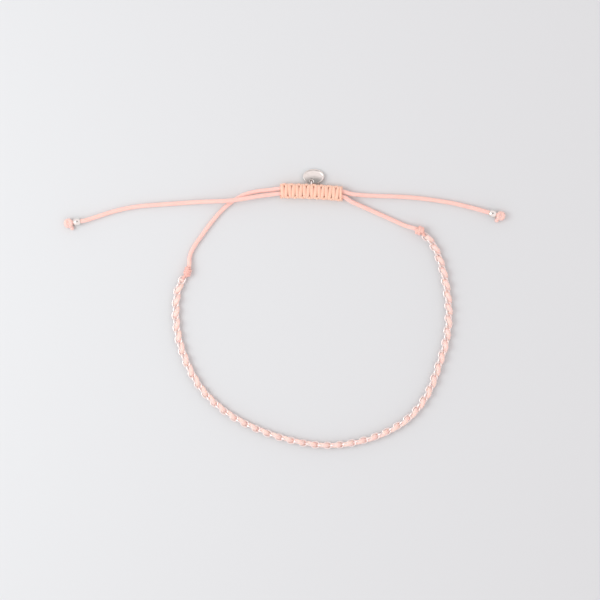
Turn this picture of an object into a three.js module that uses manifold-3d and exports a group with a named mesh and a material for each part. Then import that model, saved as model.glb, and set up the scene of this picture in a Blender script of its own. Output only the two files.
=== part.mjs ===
// An adjustable anklet laid flat in a loop: cable chain round the front, two waxed cords that run
// through a sliding knot, an oval tag on a jump ring, and a bead and a knot on each free tail.
// Millimetres, +Z up. It rests on z = 0 and the origin lies under the middle of the loop.
import * as THREE from "three";
import { mergeVertices } from "three/addons/utils/BufferGeometryUtils.js";
import Module from "manifold-3d";

const wasm = await Module();
wasm.setup();

// Loop, across the middle line of the chain
const loopWidth = 81.8;

// Cords
const cordDiameter = 1.3;
const cordSides = 8;
const cordSteps = 32;
const faceGap = 0.3;
const floorGap = 0.02;

// Sliding knot
const halfKnotCount = 17;
const halfKnotPitch = 1.095;
const coreGap = 0.16;
const coreClearance = 0.1;
const wrapThickness = 0.7;
const wrapOverlap = 0.08;
const wrapSlant = 0.16;
const wrapSides = 5;
const wrapCorners = 8;
const sliderMiddleAt = 0.8604;
const sliderSlope = -0.049;
const sliderSag = 0.26;

// Chain
const wireDiameter = 0.4;
const linkWidth = 2.2;
const linkSpacing = 1.83;
const linkBite = 0.03;
const meetGap = 0.04;
const wireSides = 5;
const linkSides = 10;

// End knots, where the chain is tied to the cords
const leftKnotLength = 2.8;
const leftKnotDiameter = 2.4;
const rightKnotLength = 2.3;
const rightKnotDiameter = 2.9;
const knotToLink = 0.25;
const knotSides = 10;
const knotEndTaper = 0.7;
const turnDip = 0.22;
const turnCrestStart = 0.3;
const turnCrestEnd = 0.7;
const tieDiameter = 0.7;
const tieClearance = 0.08;
const tieShoulder = 0.75;
const tieAtKnot = 0.6;
const tieSteps = 9;
const strandSides = 5;

// Tail beads and tail knots
const beadDiameter = 2.3;
const beadLength = 2.1;
const beadClearance = 0.12;
const beadSides = 12;
const beadShoulder = 0.85;
const beadShoulderAt = 0.36;
const beadCrownAt = 0.125;
const tailKnotWidth = 3;
const tailKnotStrand = 1.2;
const tailKnotLean = THREE.MathUtils.degToRad(50);
const tailEndReach = 0.75;
const tailEndTurn = THREE.MathUtils.degToRad(130);
const tailGap = 0.1;

// Tag and jump ring
const tagWidth = 6.3;
const tagDepth = 4.6;
const tagThickness = 0.5;
const tagFaceRecess = 0.09;
const tagRimWidth = 0.32;
const tagTilt = THREE.MathUtils.degToRad(15);
const tagMiddleX = 0.55;
const tagToSlider = 0.12;
const tagHoleDiameter = 1;
const tagHoleInset = 0.75;
const tagHoleX = -0.1;
const tagSegments = 12;
const ringDiameter = 1.65;
const ringWire = 0.35;
const ringLift = 0.12;
const ringClearance = 0.1;
const ringWireSides = 5;
const ringSides = 12;

// Sizes that follow from those above
const loopHalf = loopWidth / 2;
const cordRadius = cordDiameter / 2;
const lyingZ = cordRadius + floorGap;
const coreOffset = (cordDiameter + coreGap) / 2;
const wrapRise = cordRadius + coreClearance + wrapThickness / 2;
const sliderZ = wrapRise + wrapThickness / 2;
const sliderHalfWidth = coreOffset + sliderZ;
const sliderHalfLength = (halfKnotCount * halfKnotPitch) / 2;
const beadLift = (beadDiameter / 2 - lyingZ + floorGap) / cordDiameter;
const crossingLift = 1 + coreClearance / cordDiameter;
const chainZ = linkWidth / 2;
const leftKnotAt = [-0.9095, 0.2738];
const rightKnotAt = [0.7897, 0.5746];

// Places on the plan are written in half widths of the loop.
function onPlan([x, y], z) {
  return new THREE.Vector3(x * loopHalf, y * loopHalf, z);
}

// The middle line of the sliding knot is a very shallow bow.
function sliderAxis(x) {
  const dip = sliderSag * (x / sliderHalfLength) ** 2;
  return new THREE.Vector3(x, sliderMiddleAt * loopHalf + sliderSlope * x - dip, sliderZ);
}

// The two end knots: where each sits, and the way its cord leaves.
const leftKnot = {
  centre: onPlan(leftKnotAt, leftKnotDiameter / 2 + floorGap),
  heading: new THREE.Vector3(0.3, 0.95, 0).normalize(),
  length: leftKnotLength,
  diameter: leftKnotDiameter,
  wraps: 3,
};
const rightKnot = {
  centre: onPlan(rightKnotAt, rightKnotDiameter / 2 + floorGap),
  heading: new THREE.Vector3(-0.9, 0.43, 0).normalize(),
  length: rightKnotLength,
  diameter: rightKnotDiameter,
  wraps: 2,
};

// Where a cord starts at its end knot: face to face with it.
function cordStart(knot) {
  return knot.centre.clone().addScaledVector(knot.heading, knot.length / 2 + faceGap);
}

// Points of a cord inside the sliding knot, in its upper or lower lane, from one end to the other.
function laneThroughSlider(side, direction) {
  const stations = [-1, -0.5, 0, 0.5, 1];
  return stations.map((share) => {
    const point = sliderAxis(share * direction * sliderHalfLength);
    return point.setY(point.y + side * coreOffset);
  });
}

// Chosen points of a cord. Columns: x and y on the plan, and the lift above lying on the surface,
// in cord diameters.
function lying(rows) {
  return rows.map(([x, y, lift]) => onPlan([x, y], lyingZ + lift * cordDiameter));
}

// From the left end knot up the left side, through the upper lane and out as the right tail.
const rightTailRoute = [
  cordStart(leftKnot),
  ...lying([
    [-0.8924, 0.3912, 0.123],
    [-0.8606, 0.4597, 0],
    [-0.8117, 0.5306, 0],
    [-0.7482, 0.6186, 0],
    [-0.6748, 0.7066, 0],
    [-0.5966, 0.7775, 0],
    [-0.5037, 0.8337, 0],
    [-0.401, 0.862, 0.115],
    [-0.3007, 0.8735, 0.423],
  ]),
  ...laneThroughSlider(1, 1),
  ...lying([
    [0.291, 0.8435, 0.477],
    [0.3888, 0.8333, 0.154],
    [0.4939, 0.8289, 0],
    [0.6039, 0.8252, 0],
    [0.7139, 0.8191, 0],
    [0.824, 0.8081, 0],
    [0.9315, 0.7934, 0],
    [1.0391, 0.7751, 0],
    [1.1467, 0.7494, 0.077],
    [1.2518, 0.7213, beadLift * 0.8],
    [1.3056, 0.7042, beadLift],
    [1.3496, 0.6919, beadLift],
  ]),
];

// From the right end knot up the right side, through the lower lane, over the other cord and out
// as the left tail.
const leftTailRoute = [
  cordStart(rightKnot),
  ...lying([
    [0.6797, 0.6137, 0.154],
    [0.6064, 0.6469, 0],
    [0.5134, 0.6883, 0],
    [0.423, 0.7284, 0],
    [0.3496, 0.7609, 0.192],
    [0.2861, 0.7902, 0.5],
  ]),
  ...laneThroughSlider(-1, -1),
  ...lying([
    [-0.3007, 0.8386, 0.654],
    [-0.3961, 0.8252, 0.846],
    [-0.4988, 0.8068, crossingLift],
    [-0.6064, 0.7934, crossingLift + 0.04],
    [-0.7188, 0.7885, 0.731],
    [-0.8289, 0.7848, 0.246],
    [-0.9389, 0.7775, 0],
    [-1.0465, 0.7702, 0],
    [-1.1565, 0.7628, 0],
    [-1.2665, 0.7531, 0],
    [-1.3741, 0.7347, 0],
    [-1.4817, 0.7066, 0],
    [-1.5795, 0.6748, 0.077],
    [-1.6577, 0.6504, beadLift * 0.85],
    [-1.7066, 0.6406, beadLift],
    [-1.7457, 0.6345, beadLift],
  ]),
];

// Chosen points of the chain from the right end knot to the left one. Columns: x and y on the plan.
const chainRoute = new THREE.CatmullRomCurve3(
  [
    rightKnotAt,
    [0.8802, 0.4768],
    [0.9413, 0.335],
    [0.9829, 0.154],
    [1, -0.0367],
    [0.9804, -0.2274],
    [0.9242, -0.4181],
    [0.8386, -0.6308],
    [0.7066, -0.7971],
    [0.5183, -0.912],
    [0.2958, -0.9804],
    [0.0807, -0.9976],
    [-0.1565, -0.9609],
    [-0.401, -0.8802],
    [-0.621, -0.7628],
    [-0.7971, -0.6039],
    [-0.912, -0.4132],
    [-0.9829, -0.198],
    [-1, 0.022],
    [-0.9756, 0.1663],
    leftKnotAt,
  ].map((place) => onPlan(place, chainZ)),
  false,
  "centripetal",
);
chainRoute.arcLengthDivisions = 2000;

const waxedCord = { color: 0xf4cfc6, roughness: 0.6, metalness: 0 };
const knottedCord = { color: 0xf9cdb2, roughness: 0.65, metalness: 0 };
const silver = { color: 0xd9d6d3, roughness: 0.25, metalness: 1 };

// Geometry helpers
function bare(geometry) {
  const positions = geometry.clone();
  positions.deleteAttribute("normal");
  positions.deleteAttribute("uv");
  return mergeVertices(positions, 1e-4);
}

function solidOf(geometry) {
  const merged = bare(geometry);
  return new wasm.Manifold(
    new wasm.Mesh({
      numProp: 3,
      vertProperties: merged.attributes.position.array,
      triVerts: new Uint32Array(merged.index.array),
    }),
  );
}

function geometryOf(solid) {
  const mesh = solid.getMesh();
  const geometry = new THREE.BufferGeometry();
  geometry.setAttribute("position", new THREE.BufferAttribute(mesh.vertProperties, mesh.numProp));
  geometry.setIndex(new THREE.BufferAttribute(mesh.triVerts, 1));
  geometry.computeVertexNormals();
  return geometry;
}

function fuse(geometries) {
  return geometries.map(solidOf).reduce((whole, piece) => whole.add(piece));
}

function piece(name, geometry, finish) {
  const mesh = new THREE.Mesh(geometry, new THREE.MeshStandardMaterial(finish));
  mesh.name = name;
  return mesh;
}

function roundSection(radius, sides) {
  const corners = Array.from({ length: sides }, (_, i) => {
    const angle = ((i + 0.5) * 2 * Math.PI) / sides;
    return new THREE.Vector2(radius * Math.cos(angle), radius * Math.sin(angle));
  });
  return new THREE.Shape(corners);
}

function tubeAlong(points, radius, sides, steps) {
  const path = new THREE.CatmullRomCurve3(points, false, "centripetal");
  return new THREE.ExtrudeGeometry(roundSection(radius, sides), {
    steps,
    extrudePath: path,
    bevelEnabled: false,
  });
}

// Turns a shape built round +Y to lie along a heading, and moves it to its place.
function placeAlong(geometry, heading, centre) {
  const turn = new THREE.Quaternion().setFromUnitVectors(new THREE.Vector3(0, 1, 0), heading);
  return geometry.applyQuaternion(turn).translate(centre.x, centre.y, centre.z);
}

// Chain links: a ring pulled apart into an oval, laid flat or stood on edge.
const linkReach = wireDiameter / 2;
const cornerShare = Math.cos(Math.PI / linkSides);
const innerReach = linkReach * Math.cos(Math.PI / wireSides) * cornerShare;
const linkRing = linkWidth / 2 - linkReach;

function ovalLink(halfLength, standing) {
  const ring = new THREE.TorusGeometry(linkRing, linkReach, wireSides, linkSides);
  ring.rotateZ(Math.PI / linkSides);
  const position = ring.attributes.position;
  const pull = halfLength - linkRing * cornerShare;
  for (let i = 0; i < position.count; i += 1) {
    const along = position.getX(i);
    position.setX(i, Math.abs(along) < 1e-5 ? 0 : along + Math.sign(along) * pull);
  }
  return standing ? ring.rotateX(Math.PI / 2) : ring;
}

// Link places along the route. An odd count puts a flat link at both ends, for the ties.
function chainLayout() {
  const length = chainRoute.getLength();
  const endReach = linkSpacing / 2 + innerReach + linkReach;
  const first = rightKnot.length / 2 + knotToLink + endReach;
  const last = length - leftKnot.length / 2 - knotToLink - endReach;
  const gaps = 2 * Math.round((last - first) / linkSpacing / 2);
  const spacing = (last - first) / gaps;
  return { length, first, gaps, spacing, halfLength: (spacing - linkBite) / 2 + innerReach };
}
const chain = chainLayout();
const meetingLink = Math.floor(chain.gaps / 2);

function placedLink(index) {
  const slack = index >= meetingLink ? linkBite + meetGap : 0;
  const share = (chain.first + index * chain.spacing - slack) / chain.length;
  const point = chainRoute.getPointAt(share);
  const tangent = chainRoute.getTangentAt(share);
  return ovalLink(chain.halfLength, index % 2 === 1)
    .rotateZ(Math.atan2(tangent.y, tangent.x))
    .translate(point.x, point.y, point.z);
}

function chainStretch(name, from, to) {
  const links = Array.from({ length: to - from }, (_, i) => placedLink(from + i));
  return piece(name, geometryOf(fuse(links)), silver);
}

// An end knot: turns of cord side by side, and a tie that passes through the last link.
function endKnot(name, knot, knotShare, linkShare) {
  const turn = knot.length / knot.wraps;
  const crest = knot.diameter / 2;
  const valley = crest - turn * turnDip;
  const endRadius = valley * knotEndTaper;
  const profile = [new THREE.Vector2(0, -knot.length / 2)];
  for (let i = 0; i < knot.wraps; i += 1) {
    const start = -knot.length / 2 + i * turn;
    profile.push(
      new THREE.Vector2(i === 0 ? endRadius : valley, start),
      new THREE.Vector2(crest, start + turn * turnCrestStart),
      new THREE.Vector2(crest, start + turn * turnCrestEnd),
    );
  }
  profile.push(
    new THREE.Vector2(endRadius, knot.length / 2),
    new THREE.Vector2(0, knot.length / 2),
  );
  const turns = placeAlong(
    new THREE.LatheGeometry(profile, knotSides),
    knot.heading,
    knot.centre,
  );
  return piece(name, geometryOf(fuse([turns, tie(knot, knotShare, linkShare)])), knottedCord);
}

// The tie leaves the knot over the end wire of the last link, goes down through the link and
// comes back under the wire.
function tie(knot, knotShare, linkShare) {
  const link = chainRoute.getPointAt(linkShare);
  const along = chainRoute.getPointAt(linkShare).sub(chainRoute.getPointAt(knotShare));
  along.setZ(0).normalize();
  const wire = link.clone().addScaledVector(along, -chain.halfLength);
  const rise = linkReach + tieDiameter / 2 + tieClearance;
  const roundWire = (ahead, above) =>
    wire.clone().addScaledVector(along, rise * ahead).setZ(wire.z + rise * above);
  const points = [
    knot.centre.clone().setZ(knot.centre.z + rise * tieAtKnot),
    roundWire(0, 1),
    roundWire(tieShoulder, tieShoulder),
    roundWire(1, 0),
    roundWire(tieShoulder, -tieShoulder),
    roundWire(0, -1),
    knot.centre.clone().setZ(knot.centre.z - rise * tieAtKnot),
  ];
  return tubeAlong(points, tieDiameter / 2, strandSides, tieSteps);
}

// One half knot of the sliding knot: an oval wrap round both cords, its front bar slanted one
// way and its back bar the other.
function halfKnot(index) {
  const offset = (index - (halfKnotCount - 1) / 2) * halfKnotPitch;
  const outward = 1 / Math.cos(Math.PI / wrapCorners);
  const wrap = new THREE.TorusGeometry(wrapRise, wrapThickness / 2, wrapSides, wrapCorners)
    .rotateZ(Math.PI / wrapCorners)
    .scale(outward, outward, 1);
  const halfWidth = (halfKnotPitch + wrapOverlap) / 2;
  const widen = halfWidth / ((wrapThickness / 2) * Math.sin((2 * Math.PI) / wrapSides));
  const slant = (index % 2 === 0 ? -wrapSlant : wrapSlant) / (wrapRise * sliderHalfWidth);
  const position = wrap.attributes.position;
  for (let i = 0; i < position.count; i += 1) {
    const across = position.getX(i);
    position.setX(i, across + Math.sign(across) * coreOffset);
    const skew = slant * position.getX(i) * position.getY(i);
    position.setZ(i, position.getZ(i) * widen + skew);
  }
  const centre = sliderAxis(offset);
  const heading = Math.atan(sliderSlope - (2 * sliderSag * offset) / sliderHalfLength ** 2);
  return wrap
    .rotateX(Math.PI / 2)
    .rotateZ(heading + Math.PI / 2)
    .translate(centre.x, centre.y, centre.z);
}

// Places of the tag and its ring, worked out from the edge of the sliding knot.
const tagMiddleY =
  sliderAxis(tagHoleX).y +
  sliderHalfWidth +
  tagToSlider +
  (tagDepth / 2) * Math.cos(tagTilt) +
  (tagThickness / 2) * Math.sin(tagTilt);
const tagMiddleZ =
  (tagDepth / 2) * Math.sin(tagTilt) + (tagThickness / 2) * Math.cos(tagTilt) + floorGap;
const tagHoleDepth = tagHoleInset - tagDepth / 2;
const ringRadius = (ringDiameter - ringWire) / 2;
const ringCentre = new THREE.Vector3(
  tagHoleX,
  tagMiddleY + tagHoleDepth * Math.cos(tagTilt) - ringRadius,
  tagMiddleZ - tagHoleDepth * Math.sin(tagTilt) + ringLift,
);

function jumpRing(wire) {
  return new THREE.TorusGeometry(ringRadius, wire / 2, ringWireSides, ringSides)
    .rotateY(Math.PI / 2)
    .translate(ringCentre.x, ringCentre.y, ringCentre.z);
}

function slidingKnot() {
  const wraps = Array.from({ length: halfKnotCount }, (_, i) => halfKnot(i));
  const channel = solidOf(jumpRing(ringWire + 2 * ringClearance));
  return piece("sliding_knot", geometryOf(fuse(wraps).subtract(channel)), knottedCord);
}

// The tag: a thin plate with a raised rim, tilted so that its far edge rests on the surface.
function tag() {
  const outline = new THREE.Shape().absellipse(0, 0, tagWidth / 2, tagDepth / 2, 0, 2 * Math.PI);
  const inner = new THREE.Path().absellipse(
    0,
    0,
    tagWidth / 2 - tagRimWidth,
    tagDepth / 2 - tagRimWidth,
    0,
    2 * Math.PI,
  );
  outline.holes.push(inner);
  const rim = new THREE.ExtrudeGeometry(outline, {
    depth: tagThickness,
    curveSegments: tagSegments,
    bevelEnabled: false,
  }).translate(0, 0, -tagThickness / 2);
  const plateThickness = tagThickness - 2 * tagFaceRecess;
  const face = new THREE.Shape().absellipse(
    0,
    0,
    (tagWidth - tagRimWidth) / 2,
    (tagDepth - tagRimWidth) / 2,
    0,
    2 * Math.PI,
  );
  const plate = new THREE.ExtrudeGeometry(face, {
    depth: plateThickness,
    curveSegments: tagSegments,
    bevelEnabled: false,
  }).translate(0, 0, -plateThickness / 2);
  const hole = new THREE.CylinderGeometry(
    tagHoleDiameter / 2,
    tagHoleDiameter / 2,
    2 * tagThickness,
    tagSegments,
  )
    .rotateX(Math.PI / 2)
    .translate(tagHoleX - tagMiddleX, tagHoleDepth, 0);
  const drilled = geometryOf(fuse([rim, plate]).subtract(solidOf(hole)));
  drilled.rotateX(-tagTilt).translate(tagMiddleX, tagMiddleY, tagMiddleZ);
  return piece("tag", drilled, silver);
}

// A bead on a tail: a round bead with a bore for the cord.
function tailBead(name, end, heading) {
  const bore = cordRadius + beadClearance;
  const crown = beadDiameter / 2;
  const profile = [
    new THREE.Vector2(bore, -beadLength / 2),
    new THREE.Vector2(crown * beadShoulder, -beadLength * beadShoulderAt),
    new THREE.Vector2(crown, -beadLength * beadCrownAt),
    new THREE.Vector2(crown, beadLength * beadCrownAt),
    new THREE.Vector2(crown * beadShoulder, beadLength * beadShoulderAt),
    new THREE.Vector2(bore, beadLength / 2),
    new THREE.Vector2(bore, -beadLength / 2),
  ];
  const centre = end.clone().addScaledVector(heading, -beadLength / 2);
  return piece(
    name,
    placeAlong(new THREE.LatheGeometry(profile, beadSides), heading, centre),
    silver,
  );
}

// A knot at the end of a tail: two turns of cord drawn up over each other, and the cut end of the
// cord, which sticks out on the side of the loop.
function tailKnot(name, end, heading) {
  const strand = tailKnotStrand / 2;
  const turn = tailKnotWidth / 2 - strand;
  const halfLength = turn * Math.sin(tailKnotLean) + strand;
  const halfHeight = turn * Math.cos(tailKnotLean) + strand;
  const centre = end
    .clone()
    .addScaledVector(heading, tailGap + halfLength)
    .setZ(halfHeight + floorGap);
  const turns = [-1, 1].map((lean) =>
    new THREE.TorusGeometry(turn, strand, strandSides, knotSides)
      .rotateX(Math.PI / 2 + lean * tailKnotLean),
  );
  const solids = turns.map((geometry) => placeAlong(geometry, heading, centre));
  const endTurn = -Math.sign(heading.x) * tailEndTurn;
  const aside = heading.clone().applyAxisAngle(new THREE.Vector3(0, 0, 1), endTurn);
  const root = centre.clone().setZ(strand + floorGap);
  const cutEnd = root.clone().addScaledVector(aside, tailKnotWidth / 2 + tailEndReach);
  const tailEnd = tubeAlong([root, cutEnd], strand, strandSides, 1);
  return piece(name, geometryOf(fuse([...solids, tailEnd])), waxedCord);
}

function freeCord(name, route) {
  return piece(name, tubeAlong(route, cordRadius, cordSides, cordSteps), waxedCord);
}

// The level direction in which a route arrives at its end.
function endHeading(route) {
  return route.at(-1).clone().sub(route.at(-2)).setZ(0).normalize();
}

const anklet = new THREE.Group();
const firstShare = chain.first / chain.length;
const lastShare = (chain.first + chain.gaps * chain.spacing - linkBite - meetGap) / chain.length;
anklet.add(chainStretch("chain_right", 0, meetingLink));
anklet.add(chainStretch("chain_left", meetingLink, chain.gaps + 1));
anklet.add(endKnot("end_knot_right", rightKnot, 0, firstShare));
anklet.add(endKnot("end_knot_left", leftKnot, 1, lastShare));
anklet.add(slidingKnot());
anklet.add(tag());
anklet.add(piece("jump_ring", jumpRing(ringWire), silver));
for (const [side, route] of [
  ["right", rightTailRoute],
  ["left", leftTailRoute],
]) {
  const end = route.at(-1);
  const heading = endHeading(route);
  anklet.add(freeCord(`cord_${side}_tail`, route));
  anklet.add(tailBead(`tail_bead_${side}`, end, heading));
  anklet.add(tailKnot(`tail_knot_${side}`, end, heading));
}

export default anklet;
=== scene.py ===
import math

import bmesh
import bpy
import numpy as np
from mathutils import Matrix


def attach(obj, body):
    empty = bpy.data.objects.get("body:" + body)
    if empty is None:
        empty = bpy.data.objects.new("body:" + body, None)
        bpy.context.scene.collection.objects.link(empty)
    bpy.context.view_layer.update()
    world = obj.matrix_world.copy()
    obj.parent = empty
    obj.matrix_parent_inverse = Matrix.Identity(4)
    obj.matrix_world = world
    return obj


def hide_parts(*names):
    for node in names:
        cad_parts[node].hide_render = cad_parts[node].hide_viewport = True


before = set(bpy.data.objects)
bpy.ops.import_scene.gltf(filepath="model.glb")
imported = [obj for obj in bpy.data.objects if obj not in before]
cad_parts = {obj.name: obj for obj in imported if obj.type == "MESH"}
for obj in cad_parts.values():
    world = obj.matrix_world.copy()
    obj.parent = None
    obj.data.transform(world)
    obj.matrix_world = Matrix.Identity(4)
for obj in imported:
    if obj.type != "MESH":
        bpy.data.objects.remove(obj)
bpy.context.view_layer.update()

mm = 0.001
upward = np.array([0.0, 0.0, 1.0])
print("frame loaded")


# Camera and light
cameraSpec = {
    "over": (-3.525, 2.715),  # point of the surface in the middle of the view, mm
    "height": 900,
    "field": 180,  # width of the view at the surface, mm
    "sensor": 36,
}
lightSpec = {
    "keyPlace": (-0.3, 0.01, 0.3),
    "keySize": 0.29,
    "keyPower": 0.62,
    "keyColour": (0.93, 1.0, 1.0),  # a little cooler than the sky, so shadows are warm
    "sideSky": (1.02, 0.955, 0.96),
    "overheadSky": (0.32, 0.31, 0.31),  # a darker patch of sky, seen in the polished pieces
    "patchWay": (0, 0.17, 0.985),  # towards the middle of the patch
    "patchEdge": (0.915, 0.965),  # cosines of the angles from its middle where it begins and is full
}


def pointAt(obj, place, target=(0, 0, 0)):
    obj.location = place
    way = [t - p for t, p in zip(target, place)]
    flat = math.hypot(way[0], way[1])
    obj.rotation_euler = (math.atan2(flat, -way[2]), 0, math.atan2(way[1], way[0]) - math.pi / 2)


cameraData = bpy.data.cameras.new("camera")
cameraData.sensor_width = cameraSpec["sensor"]
cameraData.lens = cameraSpec["sensor"] * cameraSpec["height"] / cameraSpec["field"]
cameraData.clip_start = 0.01
cameraData.clip_end = 20
camera = bpy.data.objects.new("camera", cameraData)
camera.location = (cameraSpec["over"][0] * mm, cameraSpec["over"][1] * mm, cameraSpec["height"] * mm)
bpy.context.collection.objects.link(camera)
bpy.context.scene.camera = camera

keyData = bpy.data.lights.new("keyLight", "AREA")
keyData.shape = "DISK"
keyData.size = lightSpec["keySize"]
keyData.energy = lightSpec["keyPower"]
keyData.color = lightSpec["keyColour"]
key = bpy.data.objects.new("keyLight", keyData)
pointAt(key, lightSpec["keyPlace"])
bpy.context.collection.objects.link(key)

world = bpy.data.worlds.new("studio")
bpy.context.scene.world = world
world.use_nodes = True
bpy.context.scene.view_settings.view_transform = "Standard"
print("camera and light ready")


# Node helpers
def addNode(tree, kind, **settings):
    node = tree.nodes.new(kind)
    for name, value in settings.items():
        setattr(node, name, value)
    return node


# A value, or another node's output, for each input. Inputs go by name, or by place as i0, i1, i2.
def feed(tree, node, **values):
    for name, value in values.items():
        byPlace = name[0] == "i" and name[1:].isdigit()
        socket = node.inputs[int(name[1:]) if byPlace else name]
        if isinstance(value, bpy.types.NodeSocket):
            tree.links.new(value, socket)
        else:
            socket.default_value = value
    return node


def mathNode(tree, operation, a, b=0.0, c=0.0):
    node = addNode(tree, "ShaderNodeMath", operation=operation)
    feed(tree, node, i0=a, i1=b)
    if operation == "MULTIPLY_ADD":
        feed(tree, node, i2=c)
    return node.outputs[0]


def mixColour(tree, share, low, high):
    node = addNode(tree, "ShaderNodeMix", data_type="RGBA")
    feed(tree, node, i0=share, i6=low, i7=high)
    return node.outputs[2]


def shaderGroup(name, inputs, outputs):
    tree = bpy.data.node_groups.new(name, "ShaderNodeTree")
    for label, kind, value in inputs:
        tree.interface.new_socket(name=label, in_out="INPUT", socket_type=kind).default_value = value
    for label, kind in outputs:
        tree.interface.new_socket(name=label, in_out="OUTPUT", socket_type=kind)
    return tree, tree.nodes.new("NodeGroupInput").outputs, tree.nodes.new("NodeGroupOutput").inputs


colourKind, numberKind = "NodeSocketColor", "NodeSocketFloat"


# Twisted yarn for every cord: ridges wind round the strand, and fibres lie along them. The grooves between
# the ridges get a painted shade colour.
yarnSpec = {
    "fibresAround": 2.2,  # radius of the circle that the fibres' noise is read on
    "fibresAlong": 0.35,  # and its pace for each mm, slower, so that fibres are long
    "blotchesAlong": 0.35,
    "roughBetween": 0.64,  # roughness between the fibres
    "smootherOn": 0.16,  # and how much smoother they are themselves
}


def buildYarn():
    tree, given, made = shaderGroup(
        "yarnTwist",
        [
            ("Colour", colourKind, (1, 1, 1, 1)),
            ("Groove Colour", colourKind, (0.5, 0.5, 0.5, 1)),
            ("Yarns", numberKind, 9.0),
            ("Lay Length", numberKind, 3.0),
            ("Fibre Share", numberKind, 0.4),
        ],
        [("Colour", colourKind), ("Height", numberKind), ("Roughness", numberKind)],
    )
    place = addNode(tree, "ShaderNodeUVMap", uv_map="strand")
    split = feed(tree, addNode(tree, "ShaderNodeSeparateXYZ"), Vector=place.outputs[0])
    turns = mathNode(tree, "DIVIDE", split.outputs[1], given["Lay Length"])
    swirl = mathNode(tree, "SUBTRACT", split.outputs[0], turns)
    angle = mathNode(tree, "MULTIPLY", swirl, 2 * math.pi)
    ridge = mathNode(tree, "COSINE", mathNode(tree, "MULTIPLY", angle, given["Yarns"]))
    ridgeShare = mathNode(tree, "MULTIPLY_ADD", ridge, 0.5, 0.5)
    around = addNode(tree, "ShaderNodeCombineXYZ")
    feed(
        tree,
        around,
        X=mathNode(tree, "MULTIPLY", mathNode(tree, "COSINE", angle), yarnSpec["fibresAround"]),
        Y=mathNode(tree, "MULTIPLY", mathNode(tree, "SINE", angle), yarnSpec["fibresAround"]),
        Z=mathNode(tree, "MULTIPLY", split.outputs[1], yarnSpec["fibresAlong"]),
    )
    fibre = feed(
        tree,
        addNode(tree, "ShaderNodeTexNoise"),
        Vector=around.outputs[0],
        Scale=3.0,
        Detail=4.0,
        Roughness=0.6,
    )
    blotch = feed(
        tree,
        addNode(tree, "ShaderNodeTexNoise", noise_dimensions="1D"),
        W=split.outputs[1],
        Scale=yarnSpec["blotchesAlong"],
        Detail=2.0,
    )
    rough = mathNode(tree, "MULTIPLY", fibre.outputs[0], given["Fibre Share"])
    plain = mathNode(tree, "SUBTRACT", 1.0, given["Fibre Share"])
    height = mathNode(tree, "MULTIPLY_ADD", ridgeShare, plain, rough)
    # colour share: painted shade in the low grooves and full colour on the ridges, with random blotches of
    # tone along the strand
    toned = mathNode(tree, "MULTIPLY_ADD", blotch.outputs[0], 0.5, mathNode(tree, "MULTIPLY", height, 1.1))
    share = feed(tree, addNode(tree, "ShaderNodeClamp"), Value=toned)
    colour = mixColour(tree, share.outputs[0], given["Groove Colour"], given["Colour"])
    smoother, between = -yarnSpec["smootherOn"], yarnSpec["roughBetween"]
    roughness = mathNode(tree, "MULTIPLY_ADD", fibre.outputs[0], smoother, between)
    tree.links.new(colour, made["Colour"])
    tree.links.new(height, made["Height"])
    tree.links.new(roughness, made["Roughness"])
    return tree


# Silver that is handled every day: polished, with a little dullness and hairline scratches.
silverSpec = {
    "scratchScale": 1400.0,
    "scratchStretch": (1.0, 7.0, 2.0),
    "dullRoughness": 0.5,  # roughness that full dullness adds
}


def buildSilver():
    tree, given, made = shaderGroup(
        "handledSilver",
        [
            ("Colour", colourKind, (0.9, 0.9, 0.9, 1)),
            ("Dull Colour", colourKind, (0.5, 0.5, 0.5, 1)),
            ("Dullness", numberKind, 0.3),
            ("Spot Scale", numberKind, 900.0),
            ("Polish", numberKind, 0.15),
        ],
        [("Colour", colourKind), ("Height", numberKind), ("Roughness", numberKind)],
    )
    place = addNode(tree, "ShaderNodeTexCoord").outputs["Object"]
    spots = feed(
        tree,
        addNode(tree, "ShaderNodeTexNoise"),
        Vector=place,
        Scale=given["Spot Scale"],
        Detail=3.0,
    )
    stretched = addNode(tree, "ShaderNodeMapping")
    feed(tree, stretched, Vector=place, Scale=silverSpec["scratchStretch"])
    scratches = feed(
        tree,
        addNode(tree, "ShaderNodeTexNoise"),
        Vector=stretched.outputs[0],
        Scale=silverSpec["scratchScale"],
        Detail=5.0,
        Roughness=0.7,
    )
    dull = mathNode(tree, "MULTIPLY", spots.outputs[0], given["Dullness"])
    colour = mixColour(tree, dull, given["Colour"], given["Dull Colour"])
    roughness = mathNode(tree, "MULTIPLY_ADD", dull, silverSpec["dullRoughness"], given["Polish"])
    tree.links.new(colour, made["Colour"])
    tree.links.new(scratches.outputs[0], made["Height"])
    tree.links.new(roughness, made["Roughness"])
    return tree


def buildSky():
    tree = world.node_tree
    place = addNode(tree, "ShaderNodeTexCoord").outputs["Generated"]
    towards = addNode(tree, "ShaderNodeVectorMath", operation="DOT_PRODUCT")
    feed(tree, towards, i0=place, i1=lightSpec["patchWay"])
    begins, full = lightSpec["patchEdge"]
    share = addNode(tree, "ShaderNodeMapRange", interpolation_type="SMOOTHSTEP")
    feed(tree, share, i0=towards.outputs["Value"], i1=begins, i2=full)
    colour = mixColour(tree, share.outputs[0], (*lightSpec["sideSky"], 1), (*lightSpec["overheadSky"], 1))
    tree.links.new(colour, tree.nodes["Background"].inputs["Color"])


buildSky()
yarnGroup = buildYarn()
silverGroup = buildSilver()


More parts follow.
